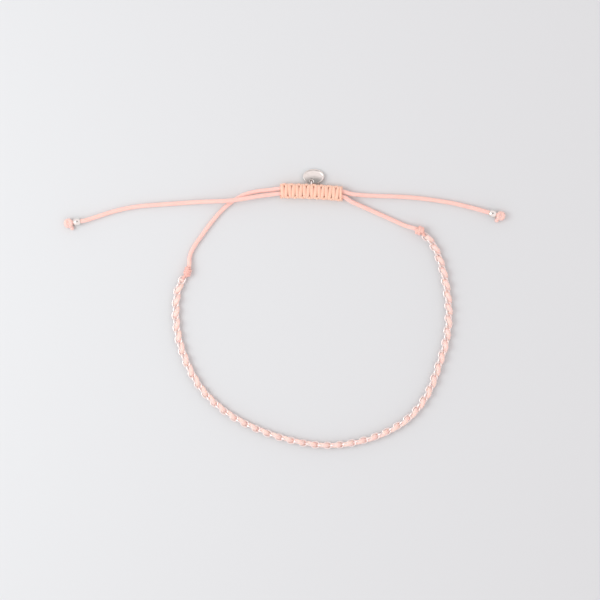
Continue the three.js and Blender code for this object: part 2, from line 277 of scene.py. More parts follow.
def material(name, group, values, bumpDistance, bumpStrength, **plain):
    mat = bpy.data.materials.new(name)
    mat.use_nodes = True
    tree = mat.node_tree
    shader = tree.nodes["Principled BSDF"]
    effect = addNode(tree, "ShaderNodeGroup", node_tree=group)
    for label, value in values.items():
        effect.inputs[label].default_value = value
    bump = addNode(tree, "ShaderNodeBump")
    feed(tree, bump, Strength=bumpStrength, Distance=bumpDistance, Height=effect.outputs["Height"])
    tree.links.new(effect.outputs["Colour"], shader.inputs["Base Color"])
    tree.links.new(effect.outputs["Roughness"], shader.inputs["Roughness"])
    tree.links.new(bump.outputs[0], shader.inputs["Normal"])
    for label, value in plain.items():
        shader.inputs[label.replace("_", " ")].default_value = value
    return mat


# Straight cords have a long lay. Knotting tightens it, and the fibres show more.
cordLays = {
    "straight": {"Yarns": 8.0, "Lay Length": 4.2, "Fibre Share": 0.45},
    "knotted": {"Yarns": 7.0, "Lay Length": 3.4, "Fibre Share": 0.5},
}
cordDepths = {
    "straight": {"bump": 0.5, "glow": 0.18},  # glow: share of light that goes under the surface
    "knotted": {"bump": 0.55, "glow": 0.15},
}
cordSurface = {
    "relief": 0.00006,  # metres
    "glowReach": (1.0, 0.45, 0.3),  # how far red, green and blue light go, as shares of the depth
    "glowDepth": 0.0006,
    "fuzz": 0.25,
    "fuzzRoughness": 0.4,
}


def cordMaterial(name, lay, colour, grooveShadeColour):
    return material(
        name,
        yarnGroup,
        {"Colour": (*colour, 1), "Groove Colour": (*grooveShadeColour, 1), **cordLays[lay]},
        cordSurface["relief"],
        cordDepths[lay]["bump"],
        Subsurface_Weight=cordDepths[lay]["glow"],
        Subsurface_Radius=cordSurface["glowReach"],
        Subsurface_Scale=cordSurface["glowDepth"],
        Sheen_Weight=cordSurface["fuzz"],
        Sheen_Roughness=cordSurface["fuzzRoughness"],
    )


# the second colour of each cord is the painted shade in the grooves between its yarns
waxedCord = cordMaterial("waxedCord", "straight", (0.97, 0.65, 0.58), (0.90, 0.50, 0.44))
# the same waxed cord, painted lighter for the strand woven through the chain to make up for the shade among
# the links
waxedCordPaintedLighter = cordMaterial("waxedCordPaintedLighter", "straight", (0.98, 0.73, 0.66), (0.93, 0.59, 0.52))
knottedCord = cordMaterial("knottedCord", "knotted", (0.98, 0.64, 0.49), (0.92, 0.44, 0.33))
tieCord = cordMaterial("tieCord", "knotted", (0.90, 0.55, 0.48), (0.80, 0.36, 0.30))
paleTieCord = cordMaterial("paleTieCord", "knotted", (0.96, 0.60, 0.52), (0.88, 0.42, 0.35))
# silver of the chain and jump ring: the pink tint in its colour and dull colour is a painted reflection of
# the pink cords around it
silverPaintedCordReflection = material(
    "silverPaintedCordReflection",
    silverGroup,
    {
        "Colour": (0.99, 0.88, 0.85, 1),
        "Dull Colour": (0.82, 0.70, 0.67, 1),
        "Dullness": 0.25,
        "Spot Scale": 700.0,
        "Polish": 0.24,
    },
    0.00002,
    0.15,
    Metallic=0.82,
)
polishedSilver = material(
    "polishedSilver",
    silverGroup,
    {
        "Colour": (0.97, 0.93, 0.89, 1),
        "Dull Colour": (0.55, 0.50, 0.47, 1),
        "Dullness": 0.45,
        "Spot Scale": 500.0,
        "Polish": 0.08,
    },
    0.00006,
    0.18,
    Metallic=1.0,
)
print("materials ready")

# The surface that the anklet lies on
floorSpec = {
    "colour": (0.697, 0.723, 0.735),
    "roughness": 0.85,
    "shine": 0.1,
    "half": 2,  # metres
}
floorMaterial = bpy.data.materials.new("paleSurface")
floorMaterial.use_nodes = True
floorShader = floorMaterial.node_tree.nodes["Principled BSDF"]
floorShader.inputs["Base Color"].default_value = (*floorSpec["colour"], 1)
floorShader.inputs["Roughness"].default_value = floorSpec["roughness"]
floorShader.inputs["Specular IOR Level"].default_value = floorSpec["shine"]
far = floorSpec["half"]
floorCorners = [(-far, -far, 0), (far, -far, 0), (far, far, 0), (-far, far, 0)]
floorMesh = bpy.data.meshes.new("floor")
floorMesh.from_pydata(floorCorners, [], [(0, 1, 2, 3)])
floorMesh.materials.append(floorMaterial)
floor = bpy.data.objects.new("floor", floorMesh)
bpy.context.collection.objects.link(floor)


# Strands
def unit(vectors):
    return vectors / np.linalg.norm(vectors, axis=-1, keepdims=True)


# The smooth curve through chosen points that the solids follow too
def smoothCurve(points, stepsPerSpan=12):
    inner = [np.array(p, float) for p in points]
    places = [2 * inner[0] - inner[1], *inner, 2 * inner[-1] - inner[-2]]
    found = []
    for a, b, c, d in zip(places, places[1:], places[2:], places[3:]):
        k0, k1, k2 = (np.linalg.norm(q - p) ** 0.5 for p, q in ((a, b), (b, c), (c, d)))
        leave = ((b - a) / k0 - (c - a) / (k0 + k1) + (c - b) / k1) * k1
        arrive = ((c - b) / k1 - (d - b) / (k1 + k2) + (d - c) / k2) * k1
        for t in np.arange(stepsPerSpan) / stepsPerSpan:
            bend = (3 * (c - b) - 2 * leave - arrive) * t * t
            found.append(b + leave * t + bend + (2 * (b - c) + leave + arrive) * t**3)
    return np.array([*found, inner[-1]])


def lengthAlong(points):
    return np.concatenate([[0], np.cumsum(np.linalg.norm(np.diff(points, axis=0), axis=1))])


def evenly(points, spacing):  # the same line with even spacing
    along = lengthAlong(points)
    stops = np.linspace(0, along[-1], max(2, round(along[-1] / spacing) + 1))
    return np.stack([np.interp(stops, along, points[:, k]) for k in range(3)], axis=1)


def framesAlong(points, outward=None, tangent=None):
    if tangent is None:
        tangent = unit(np.gradient(points, axis=0))
    if outward is None:  # carried along the line without twisting
        outward = np.zeros_like(points)
        carried = upward
        for i, t in enumerate(tangent):
            carried = carried - carried.dot(t) * t
            carried /= np.linalg.norm(carried)
            outward[i] = carried
    normal = unit(outward - (outward * tangent).sum(1, keepdims=True) * tangent)
    return tangent, normal, np.cross(tangent, normal)


def meshObject(name, vertices, faces, uvs, mat):
    mesh = bpy.data.meshes.new(name)
    mesh.from_pydata([tuple(v) for v in np.array(vertices) * mm], [], faces)
    if uvs is not None:
        layer = mesh.uv_layers.new(name="strand")
        layer.data.foreach_set("uv", np.array(uvs, dtype=np.float32).ravel())
    mesh.shade_smooth()
    if mat is not None:
        mesh.materials.append(mat)
    obj = bpy.data.objects.new(name, mesh)
    bpy.context.collection.objects.link(obj)
    return obj


# Faces between closed rings of vertices, with the last ring joined to the first
def ringFaces(rings, sides):
    faces = []
    for i in range(rings):
        for j in range(sides):
            here, ahead, k = i * sides, (i + 1) % rings * sides, (j + 1) % sides
            faces.append((here + j, ahead + j, ahead + k, here + k))
    return faces


endSpec = {
    "rings": (0.5, 0.85, 0.985),  # where the rings of a rounded end stand, as shares of its reach
    "poleOut": 0.004,  # from the last ring to the pole, mm
}


def roundedEnds(points, tangent, halfWide, halfThick):  # points past both ends, and their shrinking
    found = []
    for end, way in ((0, -1), (-1, 1)):
        reach = min(halfWide[end], halfThick[end])
        found.append([
            (points[end] + way * tangent[end] * reach * share, math.sqrt(1 - share * share))
            for share in endSpec["rings"]
        ])
    return found[0][::-1], found[1]


def repeatEnds(rows):  # the first and last row again, for the rings of the rounded ends
    more = len(endSpec["rings"])
    return np.concatenate([np.repeat(rows[:1], more, 0), rows, np.repeat(rows[-1:], more, 0)])


# A strand swept along a line: its width lies across the outward direction, its thickness in it.
def strand(
    name,
    points,
    mat,
    halfWide,
    halfThick,
    sides,
    outward=None,
    tangent=None,
    plies=0,
    plyDepth=0,
    lay=1,
    caps=True,
):
    points = np.array(points, float)
    count = len(points)
    wide = np.broadcast_to(np.array(halfWide, float), (count,)).copy()
    thick = np.broadcast_to(np.array(halfThick, float), (count,)).copy()
    tangent, normal, across = framesAlong(points, outward, tangent)
    if caps:
        before, after = roundedEnds(points, tangent, wide, thick)
        points = np.array([p for p, _ in before] + list(points) + [p for p, _ in after])
        shrink = np.array([k for _, k in before] + [1] * count + [k for _, k in after])
        wide, thick = repeatEnds(wide) * shrink, repeatEnds(thick) * shrink
        tangent, normal, across = repeatEnds(tangent), repeatEnds(normal), repeatEnds(across)
        count = len(points)
    along = lengthAlong(points)
    angle = np.arange(sides) * 2 * math.pi / sides
    swell = 1 + plyDepth * (np.cos(plies * (angle[None, :] - 2 * math.pi * along[:, None] / lay)) - 1)
    rings = (
        points[:, None]
        - normal[:, None] * (np.sin(angle)[None, :] * thick[:, None] * swell)[..., None]
        + across[:, None] * (np.cos(angle)[None, :] * wide[:, None] * swell)[..., None]
    )
    vertices = list(rings.reshape(-1, 3))
    faces, uvs = [], []
    for i in range(count - 1):
        for j in range(sides):
            k = (j + 1) % sides
            faces.append((i * sides + j, i * sides + k, (i + 1) * sides + k, (i + 1) * sides + j))
            uvs += [
                (j / sides, along[i]),
                ((j + 1) / sides, along[i]),
                ((j + 1) / sides, along[i + 1]),
                (j / sides, along[i + 1]),
            ]
    if caps:
        for ring, flip in ((0, True), (count - 1, False)):
            pole = len(vertices)
            out = -endSpec["poleOut"] if flip else endSpec["poleOut"]
            vertices.append(rings[ring].mean(0) + tangent[ring] * out)
            for j in range(sides):
                k = (j + 1) % sides
                a, b = ring * sides + j, ring * sides + k
                faces.append((b, a, pole) if flip else (a, b, pole))
                corner = [((j + 1) / sides, along[ring]), (j / sides, along[ring])]
                uvs += (corner if flip else corner[::-1]) + [((j + 0.5) / sides, along[ring])]
    return meshObject(name, vertices, faces, uvs, mat)


def joined(name, pieces):
    bpy.ops.object.select_all(action="DESELECT")
    for p in pieces:
        p.select_set(True)
    bpy.context.view_layer.objects.active = pieces[0]
    bpy.ops.object.join()
    pieces[0].name = name
    pieces[0].data.name = name
    return pieces[0]


# The cords start in the end knots and the chain ends at them, so the knots' sizes come first.
endKnotSpec = {
    "left": {
        "at": np.array([-37.2, 11.2, 1.22]),
        "way": unit(np.array([0.3, 0.95, 0])),
        "long": 2.8,
        "diameter": 2.4,
        "turns": 3.0,
        "cordFrom": 1.7,  # from the knot's middle to the start of its free cord
        "cord": tieCord,
    },
    "right": {
        "at": np.array([32.3, 23.5, 1.47]),
        "way": unit(np.array([-0.9, 0.43, 0])),
        "long": 2.3,
        "diameter": 2.9,
        "turns": 2.0,
        "cordFrom": 1.45,
        "cord": paleTieCord,
    },
}


# Free cords
cordSpec = {
    "diameter": 1.3,
    "floorGap": 0.02,
    "plies": 3,
    "plyDepth": 0.02,
    "layLength": 4.2,
    "spacing": 0.3,
    "sides": 24,
    "rightLength": 0.1046,  # real lengths in metres, from end knot to tail knot
    "leftLength": 0.1056,
}
sliderSpec = {
    "halfKnots": 17,
    "pitch": 1.095,
    "middleY": 35.19,
    "slope": -0.049,
    "sag": 0.26,
    "middleZ": 1.45,
    "coreOffset": 0.73,  # of each cord from the knot's middle line
    "rise": 1.1,  # from the middle of a cord to the middle of the wrapping strand
    "halfWide": 0.56,
    "halfThick": 0.36,
    "sides": 14,
    "narrowFrom": 0.6,  # distance from the middle line where a strand begins to narrow
    "narrowOver": 1.2,
    "narrower": 0.16,  # shares of width lost and thickness gained where it turns
    "thicker": 0.06,
    "weld": 0.00004,  # metres
}
sliderHalf = sliderSpec["halfKnots"] * sliderSpec["pitch"] / 2
lyingZ = cordSpec["diameter"] / 2 + cordSpec["floorGap"]
beadLift = 0.5  # of a cord's end, where its bead holds it off the surface


def sliderAxis(x):
    s = sliderSpec
    return np.array([x, s["middleY"] + s["slope"] * x - s["sag"] * (x / sliderHalf) ** 2, s["middleZ"]])


def knotStart(k):  # where a free cord leaves its end knot
    return k["at"] + k["way"] * k["cordFrom"]


def lane(side, direction):  # a cord's points through the sliding knot
    shift = np.array([0, side * sliderSpec["coreOffset"], 0])
    return [sliderAxis(k * direction * sliderHalf) + shift for k in (-1, -0.5, 0, 0.5, 1)]


def lying(rows):  # columns: x, y and the lift above lying on the surface
    return [(x, y, lyingZ + lift) for x, y, lift in rows]


rightTailRoute = [
    knotStart(endKnotSpec["left"]),
    *lying([
        (-36.5, 16.0, 0.16),
        (-35.2, 18.8, 0),
        (-33.2, 21.7, 0),
        (-30.6, 25.3, 0),
        (-27.6, 28.9, 0),
        (-24.4, 31.8, 0),
        (-20.6, 34.1, 0),
        (-16.4, 35.25, 0.15),
        (-12.3, 35.72, 0.55),
    ]),
    *lane(1, 1),
    *lying([
        (11.9, 34.5, 0.62),
        (15.9, 34.1, 0.2),
        (20.2, 33.9, 0),
        (24.7, 33.75, 0),
        (29.2, 33.5, 0),
        (33.7, 33.05, 0),
        (38.1, 32.45, 0),
        (42.5, 31.7, 0),
        (46.9, 30.65, 0.1),
        (51.2, 29.5, beadLift * 0.8),
        (53.4, 28.8, beadLift),
        (55.2, 28.3, beadLift),
    ]),
]
leftTailRoute = [
    knotStart(endKnotSpec["right"]),
    *lying([
        (27.8, 25.1, 0.2),
        (24.8, 26.45, 0),
        (21.0, 28.15, 0),
        (17.3, 29.8, 0),
        (14.3, 31.1, 0.25),
        (11.7, 32.3, 0.65),
    ]),
    *lane(-1, -1),
    *lying([
        (-12.3, 34.3, 0.85),
        (-16.2, 33.75, 1.1),
        (-20.4, 33.0, 1.4),
        (-24.8, 32.45, 1.45),
        (-29.4, 32.25, 0.95),
        (-33.9, 32.1, 0.32),
        (-38.4, 31.8, 0),
        (-42.8, 31.5, 0),
        (-47.3, 31.2, 0),
        (-51.8, 30.8, 0),
        (-56.2, 30.05, 0),
        (-60.6, 28.9, 0),
        (-64.6, 27.6, 0.1),
        (-67.8, 26.6, beadLift * 0.85),
        (-69.8, 26.2, beadLift),
        (-71.4, 25.95, beadLift),
    ]),
]


def freeCord(name, route):
    line = evenly(smoothCurve(route), cordSpec["spacing"])
    half = cordSpec["diameter"] / 2
    piece = strand(
        name,
        line,
        waxedCord,
        half,
        half,
        sides=cordSpec["sides"],
        plies=cordSpec["plies"],
        plyDepth=cordSpec["plyDepth"],
        lay=cordSpec["layLength"],
    )
    return piece, line


rightCord, rightLine = freeCord("cordRightTail", rightTailRoute)
leftCord, leftLine = freeCord("cordLeftTail", leftTailRoute)
print("cords laid", round(lengthAlong(rightLine)[-1], 1), round(lengthAlong(leftLine)[-1], 1))


# Pieces repeated along a line
# One tree sets pieces along a path: it takes them in turn from a collection, turns every second
# one about the path, further where the path runs along Y, and welds the open ends that meet.
def buildRowTree():
    tree = bpy.data.node_groups.new("piecesInRow", "GeometryNodeTree")
    sockets = {}
    for label, kind in (
        ("Geometry", "NodeSocketGeometry"),
        ("Pieces", "NodeSocketCollection"),
        ("First Index", "NodeSocketInt"),
        ("Alternate Turn", "NodeSocketFloat"),
        ("Lean", "NodeSocketFloat"),
        ("Weld Distance", "NodeSocketFloat"),
        ("Material", "NodeSocketMaterial"),
    ):
        sockets[label] = tree.interface.new_socket(name=label, in_out="INPUT", socket_type=kind)
    tree.interface.new_socket(name="Geometry", in_out="OUTPUT", socket_type="NodeSocketGeometry")
    given = tree.nodes.new("NodeGroupInput").outputs
    made = tree.nodes.new("NodeGroupOutput").inputs
    toCurve = feed(tree, addNode(tree, "GeometryNodeMeshToCurve"), Mesh=given["Geometry"])
    toPoints = addNode(tree, "GeometryNodeCurveToPoints", mode="EVALUATED")
    feed(tree, toPoints, Curve=toCurve.outputs[0])
    index = addNode(tree, "GeometryNodeInputIndex").outputs[0]
    parity = mathNode(tree, "MODULO", mathNode(tree, "ADD", index, given["First Index"]), 2.0)
    heading = addNode(tree, "FunctionNodeAlignRotationToVector", axis="X", pivot_axis="Z")
    feed(tree, heading, Vector=toPoints.outputs["Tangent"])
    northward = feed(tree, addNode(tree, "ShaderNodeSeparateXYZ"), Vector=toPoints.outputs["Tangent"])
    leaning = mathNode(tree, "MULTIPLY_ADD", northward.outputs[1], given["Lean"], given["Alternate Turn"])
    turn = addNode(tree, "ShaderNodeCombineXYZ")
    feed(tree, turn, X=mathNode(tree, "MULTIPLY", parity, leaning))
    asRotation = addNode(tree, "FunctionNodeEulerToRotation")
    feed(tree, asRotation, Euler=turn.outputs[0])
    rotation = addNode(tree, "FunctionNodeRotateRotation", rotation_space="LOCAL")
    feed(tree, rotation, i0=heading.outputs[0], i1=asRotation.outputs[0])
    pieces = addNode(tree, "GeometryNodeCollectionInfo")
    feed(tree, pieces, Collection=given["Pieces"], i1=True, i2=True)
    placed = addNode(tree, "GeometryNodeInstanceOnPoints")
    feed(tree, placed, Points=toPoints.outputs["Points"], Instance=pieces.outputs[0])
    placed.inputs["Pick Instance"].default_value = True
    tree.links.new(parity, placed.inputs["Instance Index"])
    tree.links.new(rotation.outputs[0], placed.inputs["Rotation"])
    real = feed(tree, addNode(tree, "GeometryNodeRealizeInstances"), Geometry=placed.outputs[0])
    facesBeside = addNode(tree, "GeometryNodeInputMeshEdgeNeighbors").outputs[0]
    atOpenEnd = mathNode(tree, "LESS_THAN", facesBeside, 1.5)  # an open edge has one face beside it
    weld = addNode(tree, "GeometryNodeMergeByDistance")
    feed(tree, weld, Geometry=real.outputs[0], Selection=atOpenEnd, Distance=given["Weld Distance"])
    dressed = addNode(tree, "GeometryNodeSetMaterial")
    feed(tree, dressed, Geometry=weld.outputs[0], Material=given["Material"])
    tree.links.new(dressed.outputs[0], made[0])
    return tree, {label: socket.identifier for label, socket in sockets.items()}


rowTree, rowInputs = buildRowTree()


def piecesInRow(name, stations, pieces, mat, firstIndex, turn=0.0, lean=0.0, weld=0.0):
    path = bpy.data.meshes.new(name + "Path")
    edges = [(i, i + 1) for i in range(len(stations) - 1)]
    path.from_pydata([tuple(s * mm) for s in stations], edges, [])
    host = bpy.data.objects.new(name + "Path", path)
    bpy.context.collection.objects.link(host)
    box = bpy.data.collections.new(name + "Pieces")
    for p in pieces:
        for holder in list(p.users_collection):
            holder.objects.unlink(p)
        box.objects.link(p)
    modifier = host.modifiers.new("row", "NODES")
    modifier.node_group = rowTree
    modifier[rowInputs["Pieces"]] = box
    modifier[rowInputs["First Index"]] = firstIndex
    modifier[rowInputs["Alternate Turn"]] = turn
    modifier[rowInputs["Lean"]] = lean
    modifier[rowInputs["Weld Distance"]] = weld
    modifier[rowInputs["Material"]] = mat
    done = bpy.data.meshes.new_from_object(host.evaluated_get(bpy.context.evaluated_depsgraph_get()))
    done.name = name
    done.shade_smooth()
    made = bpy.data.objects.new(name, done)
    bpy.context.collection.objects.link(made)
    bpy.data.objects.remove(host)
    for p in pieces:
        bpy.data.objects.remove(p)
    bpy.data.collections.remove(box)
    return made


# Chain
chainSpec = {
    "wire": 0.46,
    "width": 2.26,
    "spacing": 1.83,
    "z": 1.1,
    "sides": 10,
    "steps": 26,
    "squareness": 2.35,  # 2 is an ellipse
    "lean": math.radians(30),  # of the standing links, away from the woven cord
    "knotGap": 0.25,  # from an end knot to the first link's end
    "halfLink": 1.262,
    "meetingShift": 0.07,  # the left stretch is drawn back this much where the two meet
}
chainPlaces = [
    (32.3, 23.5), (36.0, 19.5), (38.5, 13.7), (40.2, 6.3), (40.9, -1.5), (40.1, -9.3), (37.8, -17.1),
    (34.3, -25.8), (28.9, -32.6), (21.2, -37.3), (12.1, -40.1), (3.3, -40.8), (-6.4, -39.3),
    (-16.4, -36.0), (-25.4, -31.2), (-32.6, -24.7), (-37.3, -16.9), (-40.2, -8.1), (-40.9, 0.9),
    (-39.9, 6.8), (-37.2, 11.2),
]
chainLine = smoothCurve([(x, y, chainSpec["z"]) for x, y in chainPlaces], 100)
chainAlong = lengthAlong(chainLine)
firstLink = endKnotSpec["right"]["long"] / 2 + chainSpec["knotGap"] + chainSpec["halfLink"]
lastLink = chainAlong[-1] - endKnotSpec["left"]["long"] / 2 - chainSpec["knotGap"] - chainSpec["halfLink"]
linkGaps = 2 * round((lastLink - firstLink) / chainSpec["spacing"] / 2)
linkStep = (lastLink - firstLink) / linkGaps
meetingLink = linkGaps // 2


def onChain(distance):
    return np.array([np.interp(distance, chainAlong, chainLine[:, k]) for k in range(3)])


def linkPlace(index):
    shift = chainSpec["meetingShift"] if index >= meetingLink else 0
    return onChain(firstLink + index * linkStep - shift)


def ovalLink(name):
    c = chainSpec
    halfLong, halfWide = (linkStep + c["wire"]) / 2, (c["width"] - c["wire"]) / 2
    around = np.arange(c["steps"]) * 2 * math.pi / c["steps"]
    power = 2 / c["squareness"]
    line = np.stack([
        halfLong * np.sign(np.cos(around)) * np.abs(np.cos(around)) ** power,
        halfWide * np.sign(np.sin(around)) * np.abs(np.sin(around)) ** power,
        0 * around,
    ], axis=1)
    ahead = unit(np.roll(line, -1, 0) - np.roll(line, 1, 0))
    side = np.stack([ahead[:, 1], -ahead[:, 0], 0 * around], axis=1)
    turn = np.arange(c["sides"]) * 2 * math.pi / c["sides"]
    radius = c["wire"] / 2
    vertices = [
        line[i] + radius * (math.cos(t) * side[i] + math.sin(t) * upward)
        for i in range(c["steps"])
        for t in turn
    ]
    return meshObject(name, vertices, ringFaces(c["steps"], c["sides"]), None, None)


chainPieces = {}
for side, indices in (("right", range(0, meetingLink)), ("left", range(meetingLink, linkGaps + 1))):
    chainPieces[side] = piecesInRow(
        "chainLinks" + side.capitalize(),
        [linkPlace(i) for i in indices],
        [ovalLink("link")],
        silverPaintedCordReflection,
        firstIndex=indices[0],
        turn=math.pi / 2,
        lean=-chainSpec["lean"],
    )
print("chain made", linkGaps + 1, "links")

# The cord woven along the chain: up through a flat link, over its end, past the standing link and
# down under the next flat one.
weaveSpec = {
    "halfWide": 0.68,
    "halfThick": 0.44,
    "spacing": 0.2,
    "sides": 12,
    "lean": 0.6,  # of its flat side along the strand
    "steps": [  # links ahead, towards +X and up
        (0.0, 0.1, 0.12),
        (0.16, 0.2, 0.42),
        (0.42, 0.45, 0.62),
        (0.7, 0.62, 0.6),
        (1.0, 0.68, 0.25),
        (1.3, 0.62, -0.34),
        (1.55, 0.45, -0.5),
        (1.8, 0.2, -0.3),
    ],
}
weavePoints = []
for index in range(0, linkGaps, 2):
    for ahead, aside, lift in weaveSpec["steps"]:
        at = firstLink + (index + ahead) * linkStep
        here, there = onChain(at), onChain(at + 0.05)  # and a little ahead
        way = unit(there - here)
        left = np.array([-way[1], way[0], 0])
        weavePoints.append(here + left[0] * aside * left + lift * upward)
weavePoints.append(onChain(firstLink + linkGaps * linkStep))
weaveLine = evenly(smoothCurve(weavePoints, 6), weaveSpec["spacing"])
weaveWay = weaveLine - np.roll(weaveLine, 1, 0)
# its material is the waxed cord painted lighter, a painted light against the shade among the links
wovenCord = strand(
    "wovenCord",
    weaveLine,
    waxedCordPaintedLighter,
    weaveSpec["halfWide"],
    weaveSpec["halfThick"],
    sides=weaveSpec["sides"],
    outward=np.tile(upward, (len(weaveLine), 1)) + weaveSpec["lean"] * weaveWay,
)
print("woven cord made")


# Sliding knot
# Half knot: one strand crosses the front from side to side and another the back, and each turns
# at the sides into the next half knot. Every second half knot is the mirror image.
# Steps of a strand from the side where it turns to the middle, and in mirror image from there on:
# share of the pitch, angle above the side in degrees, and how far it stands out there.
frontSteps = [(-0.5, 2, 0.0), (-0.3, 8, 0.0), (-0.15, 36, 0.0), (-0.06, 70, 0.0)]
backSteps = [(-0.5, -20, 0.16), (-0.32, -12, 0.12), (-0.18, 24, 0.03), (-0.08, 68, 0.0)]


def onWrap(share, degrees, swell=0.0):  # a point of a strand's middle line, and the way out there
    s = sliderSpec
    turn = math.radians(degrees)
    out = np.array([0, -math.cos(turn), math.sin(turn)])
    centre = np.array([share * s["pitch"], s["coreOffset"] * np.sign(round(out[1], 6)), 0])
    return centre + (s["rise"] + swell) * out, out


# A strand's line from one side to the other, with the way out and the way ahead at each point. The
# curve runs on into the half knots beside it, so that the ends of the kept stretch fit theirs.
def crossing(steps, perSpan=4):
    over = [(-share, 180 - degrees, swell) for share, degrees, swell in steps[::-1]]
    own = [*steps, (0.0, 90, 0.0), *over]
    before = [(-1 - share, degrees, swell) for share, degrees, swell in steps[1:][::-1]]
    after = [(1 - share, degrees, swell) for share, degrees, swell in over[:-1][::-1]]
    places, outs = zip(*[onWrap(*step) for step in [*before, *own, *after]])
    line, out = smoothCurve(places, perSpan), unit(smoothCurve(outs, perSpan))
    first = len(before) * perSpan
    kept = slice(first, first + (len(own) - 1) * perSpan + 1)
    return line[kept], out[kept], unit(np.gradient(line, axis=0))[kept]


def halfKnot(name, mirrored):
    s = sliderSpec
    bars = []
    for side, steps, flip in (("front", frontSteps, (1, 1, 1)), ("back", backSteps, (1, -1, -1))):
        line, out, way = crossing(steps)
        turning = np.clip((np.abs(line[:, 1]) - s["narrowFrom"]) / s["narrowOver"], 0, 1)
        bars.append(strand(
            side,
            line * flip,
            None,
            s["halfWide"] * (1 - s["narrower"] * turning),
            s["halfThick"] * (1 + s["thicker"] * turning),
            sides=s["sides"],
            outward=out * flip,
            tangent=way * flip,
            caps=False,
        ))
    piece = joined(name, bars)
    if mirrored:
        for v in piece.data.vertices:
            v.co.y = -v.co.y
        piece.data.flip_normals()
    return piece


sliderStations = [
    sliderAxis((i - (sliderSpec["halfKnots"] - 1) / 2) * sliderSpec["pitch"])
    for i in range(sliderSpec["halfKnots"])
]
slidingKnot = piecesInRow(
    "slidingKnotWraps",
    sliderStations,
    [halfKnot("halfKnot", False), halfKnot("mirroredHalfKnot", True)],
    knottedCord,
    firstIndex=1,
    weld=sliderSpec["weld"],
)


def alongSlider(x, local):  # a point given beside the slider's own middle line
    centre = sliderAxis(x)
    return centre + np.array([0, local[1], local[2]])


# At one end the working strand starts as a bar behind the cords, at the other its two ends are
# melted short. A flat strand along each side closes the gaps between the turns there.
sliderEndSpec = {
    "barFrom": 0.25,  # from the knot's end to the bar
    "barSteps": [  # share of the pitch, and angle above the side in degrees
        (0.2, 8),
        (0.0, -8),
        (-0.02, -30),
        (-0.02, -62),
        (0.0, -90),
        (-0.02, -118),
        (-0.02, -150),
        (0.0, -172),
    ],
    "barWidth": 0.85,  # share of a strand's width
    "stubSteps": [  # past the knot's end, to the side and up
        (-0.05, 1.83, 0.1),
        (0.1, 1.74, -0.3),
        (0.05, 1.38, -0.7),
        (-0.1, 0.9, -0.95),
    ],
    "stubHalves": (0.47, 0.4),
    "fillerAside": 1.66,
    "fillerShort": 0.35,
    "fillerHalves": (0.3, 0.82),
    "tightLast": 0.45,  # length of the last turn that is pulled tight, and what is left of it
    "tightShare": 0.4,
}


def startBar():
    s, e = sliderSpec, sliderEndSpec
    start = e["barFrom"] - sliderHalf
    places, outs = [], []
    for share, degrees in e["barSteps"]:
        local, out = onWrap(0, degrees)
        places.append(alongSlider(start + share * s["pitch"], local))
        outs.append(out)
    line, out = smoothCurve(places, 5), unit(smoothCurve(outs, 5))
    wide = s["halfWide"] * e["barWidth"]
    return strand("startBar", line, knottedCord, wide, s["halfThick"], sides=s["sides"], outward=out)


def stub(side):
    e = sliderEndSpec
    points = [alongSlider(sliderHalf + past, (0, side * aside, up)) for past, aside, up in e["stubSteps"]]
    return strand("stub", smoothCurve(points, 5), knottedCord, *e["stubHalves"], sides=sliderSpec["sides"])


def filler(side):
    e = sliderEndSpec
    reach = sliderHalf - e["fillerShort"]
    points = [alongSlider(share * reach, (0, side * e["fillerAside"], 0)) for share in np.linspace(-1, 1, 9)]
    return strand("filler", smoothCurve(points, 4), knottedCord, *e["fillerHalves"], sides=16)


closing = bmesh.new()  # closes the openings of the first and last half knot
closing.from_mesh(slidingKnot.data)
bmesh.ops.holes_fill(closing, edges=[e for e in closing.edges if e.is_boundary], sides=0)
closing.to_mesh(slidingKnot.data)
closing.free()
sliderEnds = [startBar(), stub(-1), stub(1), filler(-1), filler(1)]
slidingKnot = joined("slidingKnotWraps", [slidingKnot, *sliderEnds])
tightFrom = (sliderHalf - sliderEndSpec["tightLast"]) * mm
for v in slidingKnot.data.vertices:
    if v.co.x > tightFrom:
        v.co.x = tightFrom + (v.co.x - tightFrom) * sliderEndSpec["tightShare"]
print("sliding knot made")


# End knots: a coil round a core, tied through the last link of the chain
knotStrandSpec = {
    "halfThick": 0.42,
    "overlap": 1.02,  # width of a turn as a share of the coil's step
    "endInset": 0.8,  # share of half that width by which the coil's ends stay inside the length
    "coreRadius": 0.66,
    "coreShort": 0.42,  # share of the length from the knot's middle to the core's end at the chain
    "corePast": 0.25,  # past the knot's end at the cord
    "tuckIn": 0.3,  # share of the length from the middle to where the coil's end goes in
    "tieRise": 0.61,  # from the middle of the link's wire to the middle of the tie
    "tieHalves": (0.38, 0.34),
    "tieSpacing": 0.15,
}


